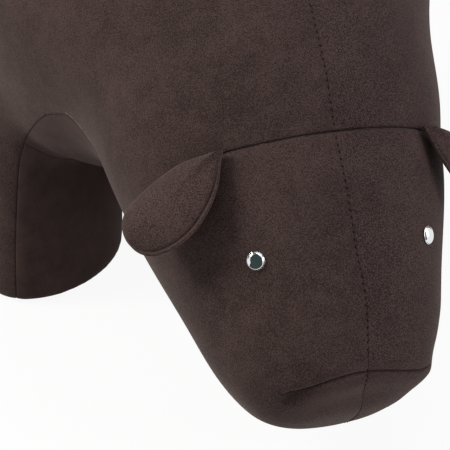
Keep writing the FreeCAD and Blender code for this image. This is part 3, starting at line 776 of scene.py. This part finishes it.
def make_ear(name, side):
    """Padded leaf of two panels with a rolled rim, pinched thin where it is sewn into the neck seam."""
    n = EAR_SPOTS
    outline = leaf_outline(n)
    heart = np.array(EAR_HEART)
    shares = np.concatenate([1 - np.array(EAR_RIM_RINGS), np.linspace(0.80, 0.04, 18)])
    edge = KDTree(4 * n)
    for i, p in enumerate(leaf_outline(4 * n)):
        edge.insert((p[0], p[1], 0), i)
    edge.balance()
    root, along_root, reach, thick = ear_frame()
    verts, near = [], []

    def add(p, top):
        _, spot, d = edge.find((p[0], p[1], 0))
        turn = spot / (4 * n)
        front = smooth(1 - (turn - EAR_FRONT_END[0]) / (EAR_FRONT_END[1] - EAR_FRONT_END[0]))
        width = EAR_RIM * (0.3 + 0.7 * min(turn / 0.2, 1))
        rim = EAR_EDGE * math.sqrt(max(0.0, 1 - (1 - min(d, EAR_EDGE) / EAR_EDGE) ** 2))
        start = width * front
        slope = 0.6 + 0.3 * front
        rise = math.sin(math.pi / 2 * min((d - start) / (16 + 8 * front), 1)) ** slope if d > start else 0.0
        groove = hill(d, width, 0.7) * front * min(turn / 0.08, 1)
        up = EAR_MIDDLE + (rim + EAR_CROWN * rise - 0.9 * groove if top else -rim - EAR_HOLLOW * rise)
        lump = 0.5 * noise.noise(Vector((p[0] / 13, p[1] / 13, 3.0 if top else 9.0))) * rise
        verts.append(root + along_root * p[0] + reach * p[1] + thick * (up + lump))
        # painted shade in the top's groove inside the rim
        near.append(0.6 * groove if top else 0.0)
        return d
    depth = []
    for top in (True, False):
        for share in shares if top else shares[1:]:
            for p in outline:
                depth.append(add(heart + (p - heart) * share, top))
        depth.append(add(heart, top))
    verts = np.array(verts)
    if side > 0:
        verts[:, 0] *= -1
    rings = len(shares)
    faces = band_faces(rings, n)
    heart_top = rings * n
    faces += [((rings - 1) * n + j, (rings - 1) * n + (j + 1) % n, heart_top) for j in range(n)]
    low = heart_top + 1
    for i in range(-1, rings - 2):
        for j in range(n):
            k = (j + 1) % n
            a, b = (j, k) if i < 0 else (low + i * n + j, low + i * n + k)
            faces.append((a, low + (i + 1) * n + j, low + (i + 1) * n + k, b))
    heart_low = low + (rings - 1) * n
    faces += [(low + (rings - 2) * n + (j + 1) % n, low + (rings - 2) * n + j, heart_low) for j in range(n)]
    obj = mesh_object(name, world(verts), faces)
    bm = bmesh.new()
    bm.from_mesh(obj.data)
    bmesh.ops.recalc_face_normals(bm, faces=bm.faces[:])
    bm.to_mesh(obj.data)
    bm.free()
    depth = np.array(depth)
    relaxed(obj, np.clip((depth - EAR_RIM - 1) / 5, 0, 1), 60)
    stuffed(obj, depth < EAR_RIM + 0.6, EAR_PRESSURE, EAR_SWELL)
    # the groove's painted shade, read by the suede as its seam shade
    layer = obj.data.attributes.new("seam", "FLOAT", "POINT")
    layer.data.foreach_set("value", np.array(near, np.float32))
    obj.data.shade_smooth()
    return obj


root, along_root, reach, thick = ear_frame()
ears = {}
for side, word in SIDES:
    ears[word] = make_ear("ear_" + word, side)
    start, end = (world(root + along_root * EAR_ROOT / 2 + reach * far) for far in EAR_BEND)
    flip = [1, 1, 1] if side < 0 else [-1, 1, 1]
    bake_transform(ears[word], "pouf", word + "_ear", start=tuple(start * flip), end=tuple(end * flip))
    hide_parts(*["ear_" + word + "_" + layer for layer in ("top", "under", "wadding")])


# Eyes

def make_eye(name, node):
    """Polished cap with a rolled rim, turned about the axis of the cap it stands for."""
    points = np.array([v.co for v in frame["nodes"][node].data.vertices])
    centre = points.mean(0)
    axes = np.linalg.svd(points - centre, full_matrices=False)[2]
    spans = [np.ptp(points @ a) for a in axes]
    axis = axes[int(np.argmax(spans))]
    heights = (points - centre) @ axis
    radii = np.linalg.norm(points - centre - np.outer(heights, axis), axis=1)
    if heights[int(np.argmax(np.abs(heights)))] > 0:
        axis, heights = -axis, -heights
    base = centre + axis * heights[radii > radii.max() * 0.98].min()
    base, axis = Vector(base), Vector(axis)
    dome = np.linspace(0.02, math.pi / 2, 16)[:-1]
    profile = CAP_RIM + [(DOME_RADIUS * math.cos(a), 1.0 + DOME_HEIGHT * math.sin(a)) for a in dome]
    across = axis.orthogonal().normalized()
    over = axis.cross(across)
    n = CAP_SPOTS
    verts = []
    for r, h in profile:
        for k in range(n):
            a = 2 * math.pi * k / n
            verts.append(base + axis * h * MM + (across * math.cos(a) + over * math.sin(a)) * r * MM)
    faces = band_faces(len(profile), n)
    verts += [base + axis * h * MM for h in (CAP_SHANK, CAP_TOP)]
    last = (len(profile) - 1) * n
    for j in range(n):
        k = (j + 1) % n
        faces += [(len(verts) - 2, k, j), (len(verts) - 1, last + j, last + k)]
    obj = mesh_object(name, verts, faces)
    obj.data.shade_smooth()
    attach(obj, "pouf")
    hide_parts(node)
    eye_axes[name] = base, axis.normalized()
    return obj


eye_axes = {}
eyes = {word: make_eye("eye_" + word, "eye_cap_" + word) for word in ("right", "left")}


# Finishes

def nodes_of(tree):
    """Adds a node with its settings and inputs in one line; i0, i1 and so on are inputs by number."""
    def add(kind, settings=None, **inputs):
        made = tree.nodes.new(kind)
        for name, value in (settings or {}).items():
            setattr(made, name, value)
        for name, value in inputs.items():
            numbered = name[0] == "i" and name[1:].isdigit()
            socket = made.inputs[int(name[1:]) if numbered else name.replace("_", " ")]
            if isinstance(value, bpy.types.NodeSocket):
                tree.links.new(value, socket)
            else:
                socket.default_value = value
        return made
    return add


def maths(add, kind, a, b, c=0.0):
    return add("ShaderNodeMath", {"operation": kind}, i0=a, i1=b, i2=c).outputs[0]


def new_socket(tree, way, title, kind):
    return tree.interface.new_socket(title, in_out=way, socket_type="NodeSocket" + kind)


def group(name, inputs):
    """Shader group that puts out a surface's colour, roughness and height."""
    made = bpy.data.node_groups.new(name, "ShaderNodeTree")
    for title, kind, value in inputs:
        new_socket(made, "INPUT", title, kind).default_value = value
    for title, kind in (("Colour", "Color"), ("Roughness", "Float"), ("Height", "Float")):
        new_socket(made, "OUTPUT", title, kind)
    return made


PILE, BRUSHED = (0.019, 0.0115, 0.0108), (0.078, 0.0485, 0.0442)


def suede_group():
    """Short nap: cloudy tone where the pile lies either way, fine grain, and painted shade in the seams' creases."""
    g = group("suede_nap", [
        ("Pile", "Color", (*PILE, 1)), ("Brushed", "Color", (*BRUSHED, 1)),
        ("Cloud", "Float", 0.5), ("Grain", "Float", 2.0), ("Seam", "Float", 0.0)])
    add = nodes_of(g)
    given = add("NodeGroupInput").outputs
    where = add("ShaderNodeTexCoord").outputs["Object"]
    broad = add("ShaderNodeTexNoise", Vector=where, Scale=16.0, Detail=3.0, Roughness=0.55).outputs["Fac"]
    patch = add("ShaderNodeTexNoise", Vector=where, Scale=75.0, Detail=2.0, Roughness=0.5,
                Distortion=0.4).outputs["Fac"]
    grain = add("ShaderNodeTexNoise", Vector=where, Scale=1300.0, Detail=3.0, Roughness=0.7).outputs["Fac"]
    cloud = maths(add, "ADD", maths(add, "MULTIPLY_ADD", broad, 1.6, -0.8),
                  maths(add, "MULTIPLY_ADD", patch, 1.4, -0.7))
    tone = maths(add, "MULTIPLY_ADD", cloud, given["Cloud"], 0.45)
    fine = maths(add, "SUBTRACT", grain, 0.5)
    tone = maths(add, "ADD", tone, maths(add, "MULTIPLY", fine, given["Grain"]))
    limit = add("ShaderNodeClamp", Value=tone).outputs[0]
    nap = add("ShaderNodeMix", {"data_type": "RGBA"}, i0=limit, i6=given["Pile"], i7=given["Brushed"]).outputs[2]
    # painted shade in the seams' creases, broken up by the grain
    seam_shade_grain = maths(add, "MULTIPLY_ADD", fine, 1.6, 0.9)
    deep = maths(add, "MULTIPLY", maths(add, "POWER", given["Seam"], 1.3), seam_shade_grain)
    dark = add("ShaderNodeMix", {"data_type": "RGBA", "blend_type": "MULTIPLY"},
               i0=deep, i6=nap, i7=(0.22, 0.18, 0.18, 1))
    rough = maths(add, "MULTIPLY_ADD", patch, 0.18, 0.78)
    height = maths(add, "MULTIPLY_ADD", grain, 0.7, maths(add, "MULTIPLY", patch, 0.5))
    add("NodeGroupOutput", Colour=dark.outputs[2], Roughness=rough, Height=height)
    return g


NAP = suede_group()


def bare_material(name):
    made = bpy.data.materials.new(name)
    made.use_nodes = True
    made.node_tree.nodes.clear()
    return made, nodes_of(made.node_tree)


def surface(add, **inputs):
    add("ShaderNodeOutputMaterial", Surface=add("ShaderNodeBsdfPrincipled", **inputs).outputs[0])


def suede(name, shade, cloud, grain, sheen):
    """Suede cloth, darker or lighter by its shade; a lighter copy paints light where the lamps fall on its panel."""
    made, add = bare_material(name)
    # painted shade of the seams' creases, from the mesh
    near = add("ShaderNodeAttribute", {"attribute_name": "seam"}).outputs["Fac"]
    nap = add("ShaderNodeGroup", {"node_tree": NAP}, Cloud=cloud, Grain=grain, Seam=near,
              Pile=(*[shade * c for c in PILE], 1), Brushed=(*[shade * c for c in BRUSHED], 1))
    bump = add("ShaderNodeBump", Strength=0.5, Distance=0.0006, Height=nap.outputs["Height"])
    surface(add, Base_Color=nap.outputs["Colour"], Roughness=nap.outputs["Roughness"], Normal=bump.outputs[0],
            Specular_IOR_Level=0.1, Sheen_Weight=sheen, Sheen_Roughness=0.3, Sheen_Tint=(0.95, 0.80, 0.74, 1))
    return made


# The belly and ear copies are lighter than the flanks': painted light where the lamps fall on the chest and the ears.
suede_main = suede("suede_main", 0.93, 0.42, 3.9, 0.16)
suede_against = suede("suede_against_nap", 0.93, 0.45, 7.0, 0.13)
suede_belly_painted_light = suede("suede_belly_painted_light", 1.0, 0.4, 1.2, 0.06)
suede_ear_painted_light = suede("suede_ear_painted_light", 1.05, 0.35, 4.6, 0.14)


def worked(name, dark, light, scale, rough, spread, bump, metallic=0.0):
    """Finish with a fine even texture, for what is plated, moulded, spun or felted."""
    made, add = bare_material(name)
    where = add("ShaderNodeTexCoord").outputs["Object"]
    fine = add("ShaderNodeTexNoise", Vector=where, Scale=scale, Detail=4.0, Roughness=0.6).outputs["Fac"]
    tone = add("ShaderNodeMapRange", Value=fine, i1=0.3, i2=0.7).outputs[0]
    colour = add("ShaderNodeMix", {"data_type": "RGBA"}, i0=tone, i6=(*dark, 1), i7=(*light, 1)).outputs[2]
    polish = maths(add, "MULTIPLY_ADD", fine, spread, rough)
    raised = add("ShaderNodeBump", Strength=bump, Distance=0.0003, Height=fine).outputs[0]
    surface(add, Base_Color=colour, Roughness=polish, Normal=raised, Metallic=metallic)
    return made


def wood_group():
    """Planed wood: long streaks of early and late wood with fine pores."""
    g = group("wood_figure", [
        ("Where", "Vector", (0, 0, 0)), ("Early", "Color", (0.6, 0.45, 0.28, 1)),
        ("Late", "Color", (0.42, 0.27, 0.14, 1))])
    add = nodes_of(g)
    given = add("NodeGroupInput").outputs
    streak = add("ShaderNodeTexNoise", Vector=given["Where"], Scale=1.0, Detail=4.0, Distortion=0.6).outputs["Fac"]
    pores = add("ShaderNodeTexNoise", Vector=given["Where"], Scale=4.0, Detail=2.0).outputs["Fac"]
    tone = add("ShaderNodeMapRange", Value=streak, i1=0.32, i2=0.7).outputs[0]
    colour = add("ShaderNodeMix", {"data_type": "RGBA"}, i0=tone, i6=given["Early"], i7=given["Late"]).outputs[2]
    rough = maths(add, "MULTIPLY_ADD", pores, 0.25, 0.55)
    height = maths(add, "MULTIPLY_ADD", pores, 0.6, streak)
    add("NodeGroupOutput", Colour=colour, Roughness=rough, Height=height)
    return g


FIGURE = wood_group()


def wood(name, early, late, stretch):
    """Wood with its grain along the axis that is stretched least."""
    made, add = bare_material(name)
    where = add("ShaderNodeTexCoord").outputs["Object"]
    laid = add("ShaderNodeMapping", Vector=where, Scale=stretch).outputs[0]
    figure = add("ShaderNodeGroup", {"node_tree": FIGURE}, Where=laid, Early=(*early, 1), Late=(*late, 1))
    raised = add("ShaderNodeBump", Strength=0.3, Distance=0.0004, Height=figure.outputs["Height"]).outputs[0]
    surface(add, Base_Color=figure.outputs["Colour"], Roughness=figure.outputs["Roughness"], Normal=raised)
    return made


SOFTWOOD = (0.66, 0.50, 0.30), (0.46, 0.30, 0.15)
BIRCH = (0.64, 0.49, 0.31), (0.52, 0.37, 0.21)
INNER_FINISHES = [
    (wood("softwood_upright", *SOFTWOOD, (120, 120, 9)), ("leg_post", "corner_block")),
    (wood("softwood_lengthways", *SOFTWOOD, (120, 9, 120)), ("side_rail", "keel_cleat")),
    (wood("softwood_across", *SOFTWOOD, (9, 120, 120)), ("cross_rail",)),
    (wood("birch_plywood", *BIRCH, (45, 7, 260)), ("seat_board", "foot_board")),
    (wood("birch_keel", *BIRCH, (260, 7, 45)), ("head_keel",)),
    (worked("zinc_plated", (0.48, 0.48, 0.50), (0.62, 0.62, 0.63), 420.0, 0.28, 0.2, 0.15, 1.0),
     ("frame_screws", "eye_washer")),
    (worked("lining_cloth", (0.013, 0.013, 0.013), (0.032, 0.031, 0.030), 1500.0, 0.8, 0.2, 0.6), ("foot_cloth",)),
    (worked("moulded_nylon", (0.024, 0.024, 0.025), (0.036, 0.036, 0.037), 700.0, 0.42, 0.2, 0.2), ("glides",))]
for finish, starts in INNER_FINISHES:
    for node, obj in frame["nodes"].items():
        if node.startswith(starts):
            for place in obj.material_slots:
                place.material = finish


def dress(obj, material):
    obj.data.materials.clear()
    obj.data.materials.append(material)


for word, cloth in (("right", suede_main), ("left", suede_against)):
    dress(trunk["flank_" + word], cloth)
    dress(head[word], cloth)
    dress(ears[word], suede_ear_painted_light)
dress(trunk["belly_panel"], suede_belly_painted_light)
polished = worked("polished_chrome", (0.74, 0.75, 0.75), (0.82, 0.83, 0.83), 900.0, 0.04, 0.06, 0.02, 1.0)
for cap in eyes.values():
    dress(cap, polished)
thread = suede("seam_thread", 0.27, 0.3, 2.0, 0.0)


# Stitches

def stitch_tree():
    """Short threads along a seam's path, one to each pitch, turned along it."""
    tree = bpy.data.node_groups.new("seam_stitches", "GeometryNodeTree")
    new_socket(tree, "INPUT", "Path", "Geometry")
    for title in ("Pitch", "Length", "Thickness"):
        new_socket(tree, "INPUT", title, "Float")
    new_socket(tree, "INPUT", "Thread", "Material")
    new_socket(tree, "OUTPUT", "Stitches", "Geometry")
    add = nodes_of(tree)
    given = add("NodeGroupInput").outputs
    path = add("GeometryNodeMeshToCurve", Mesh=given["Path"]).outputs[0]
    spots = add("GeometryNodeResampleCurve", {"mode": "LENGTH"}, Curve=path, Length=given["Pitch"]).outputs[0]
    way = add("GeometryNodeInputTangent").outputs[0]
    turned = add("FunctionNodeAlignRotationToVector", {"axis": "Z"}, Vector=way).outputs[0]
    bead = add("GeometryNodeMeshUVSphere", Segments=6, Rings=4, Radius=0.5).outputs[0]
    size = add("ShaderNodeCombineXYZ", X=given["Thickness"], Y=given["Thickness"], Z=given["Length"]).outputs[0]
    laid = add("GeometryNodeInstanceOnPoints", Points=spots, Instance=bead, Rotation=turned, Scale=size).outputs[0]
    real = add("GeometryNodeRealizeInstances", Geometry=laid).outputs[0]
    done = add("GeometryNodeSetMaterial", Geometry=real, Material=given["Thread"]).outputs[0]
    add("NodeGroupOutput", Stitches=done)
    return tree


def make_stitches(name, ends):
    """Stitches along the edges of the seams that show their thread."""
    index, edges = {}, []
    for pair in ends:
        edges.append([index.setdefault(tuple(round(c, 6) for c in p), len(index)) for p in pair])
    obj = mesh_object(name, list(index), [], edges)
    tree = stitch_tree()
    step = obj.modifiers.new("stitches", "NODES")
    step.node_group = tree
    sockets = {item.name: item.identifier for item in tree.interface.items_tree if item.in_out == "INPUT"}
    for title, value in (("Pitch", STITCH_PITCH), ("Length", STITCH_LENGTH), ("Thickness", STITCH_THICK)):
        step[sockets[title]] = value * MM
    step[sockets["Thread"]] = thread
    evaluated(obj)
    obj.data.shade_smooth()
    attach(obj, "pouf")


make_stitches("seam_stitches", stitched)


# Stage, light and camera

def seen_share(add, share):
    """How much of a surface the camera, metal and glass see as plain white."""
    path = add("ShaderNodeLightPath").outputs
    seen = path["Is Camera Ray"]
    for kind in ("Is Glossy Ray", "Is Transmission Ray"):
        seen = maths(add, "MAXIMUM", seen, path[kind])
    return maths(add, "MULTIPLY", seen, share)


floor = mesh_object("floor", [(-6, -6, 0), (6, -6, 0), (6, 6, 0), (-6, 6, 0)], [(0, 1, 2, 3)])
paper, add = bare_material("paper_floor")
matt = add("ShaderNodeBsdfDiffuse", Color=(0.72, 0.72, 0.72, 1)).outputs[0]
glow = add("ShaderNodeEmission", Color=(1, 1, 1, 1), Strength=1.0).outputs[0]
mixed = add("ShaderNodeMixShader", i0=seen_share(add, 0.93), i1=matt, i2=glow)
add("ShaderNodeOutputMaterial", Surface=mixed.outputs[0])
dress(floor, paper)

scene.view_settings.view_transform = "Standard"
sky = bpy.data.worlds.new("studio")
scene.world = sky
sky.use_nodes = True
sky.node_tree.nodes.clear()
add = nodes_of(sky.node_tree)
room = add("ShaderNodeBackground", Color=(0.95, 0.97, 1.0, 1), Strength=0.37).outputs[0]
white = add("ShaderNodeBackground", Color=(1, 1, 1, 1), Strength=1.0).outputs[0]
mixed = add("ShaderNodeMixShader", i0=seen_share(add, 1.0), i1=room, i2=white)
add("ShaderNodeOutputWorld", Surface=mixed.outputs[0])


def soft_lamp(name, place, target, size, watts, colour=(1, 1, 1)):
    lamp = linked(name, bpy.data.lights.new(name, "AREA"))
    lamp.data.size = size
    lamp.data.energy = watts
    lamp.data.color = colour
    lamp.location = place
    lamp.rotation_euler = (Vector(target) - Vector(place)).to_track_quat("-Z", "Y").to_euler()


soft_lamp("key", (-2.1, 0.2, 1.7), (0, -0.25, 0.2), 1.1, 66, (1.0, 0.99, 0.92))
soft_lamp("top", (0.3, -0.6, 2.4), (0, -0.1, 0.2), 2.0, 18)
soft_lamp("fill", (1.6, -1.7, 1.0), (0, -0.25, 0.2), 1.4, 23)

CAMERA_PLACE, CAMERA_TURN, CAMERA_RISE, LENS = (-0.31408, -1.07778, 0.53416), -18.61, 24.58, 104.0
camera = linked("camera", bpy.data.cameras.new("camera"))
scene.camera = camera
turn, rise = math.radians(CAMERA_TURN), math.radians(CAMERA_RISE)
back = Vector((math.sin(turn) * math.cos(rise), -math.cos(turn) * math.cos(rise), math.sin(rise)))
camera.location = CAMERA_PLACE
camera.rotation_euler = (-back).to_track_quat("-Z", "Y").to_euler()
camera.data.sensor_width = 36
camera.data.lens = LENS


# Dark sweep before the part, out of the picture: its corners along the right eye's outlook, to its right, and up
SWEEP_FLOOR = [(0.05, 0.6, 0.002), (0.1, -0.15, 0.002), (1.0, -0.38, 0.002), (1.0, 3.4, 0.002)]
SWEEP_TOP = [(1.0, -2.3, 4.0), (1.0, 3.4, 4.0)]
SWEEP_GLOW = 0.045, 0.065, 0.065, 1


def dark_sweep():
    """A dim backdrop that comes down onto the floor; the camera doesn't see it, polished metal mirrors it."""
    base, axis = eye_axes["eye_right"]
    look = (base - camera.location).normalized()
    outlook = look - 2 * look.dot(axis) * axis
    outlook.z = 0
    outlook.normalize()
    right = Vector((0, 0, 1)).cross(outlook)
    foot = Vector((base.x, base.y, 0))
    verts = [foot + outlook * far + right * aside + Vector((0, 0, z)) for far, aside, z in SWEEP_FLOOR + SWEEP_TOP]
    cloth = mesh_object("dark_sweep", verts, [(0, 1, 2, 3), (3, 2, 4, 5)])
    dim, add = bare_material("dim_cloth")
    glow = add("ShaderNodeEmission", Color=SWEEP_GLOW, Strength=1.0).outputs[0]
    add("ShaderNodeOutputMaterial", Surface=glow)
    dress(cloth, dim)
    cloth.visible_camera = cloth.visible_diffuse = cloth.visible_transmission = cloth.visible_shadow = False


dark_sweep()
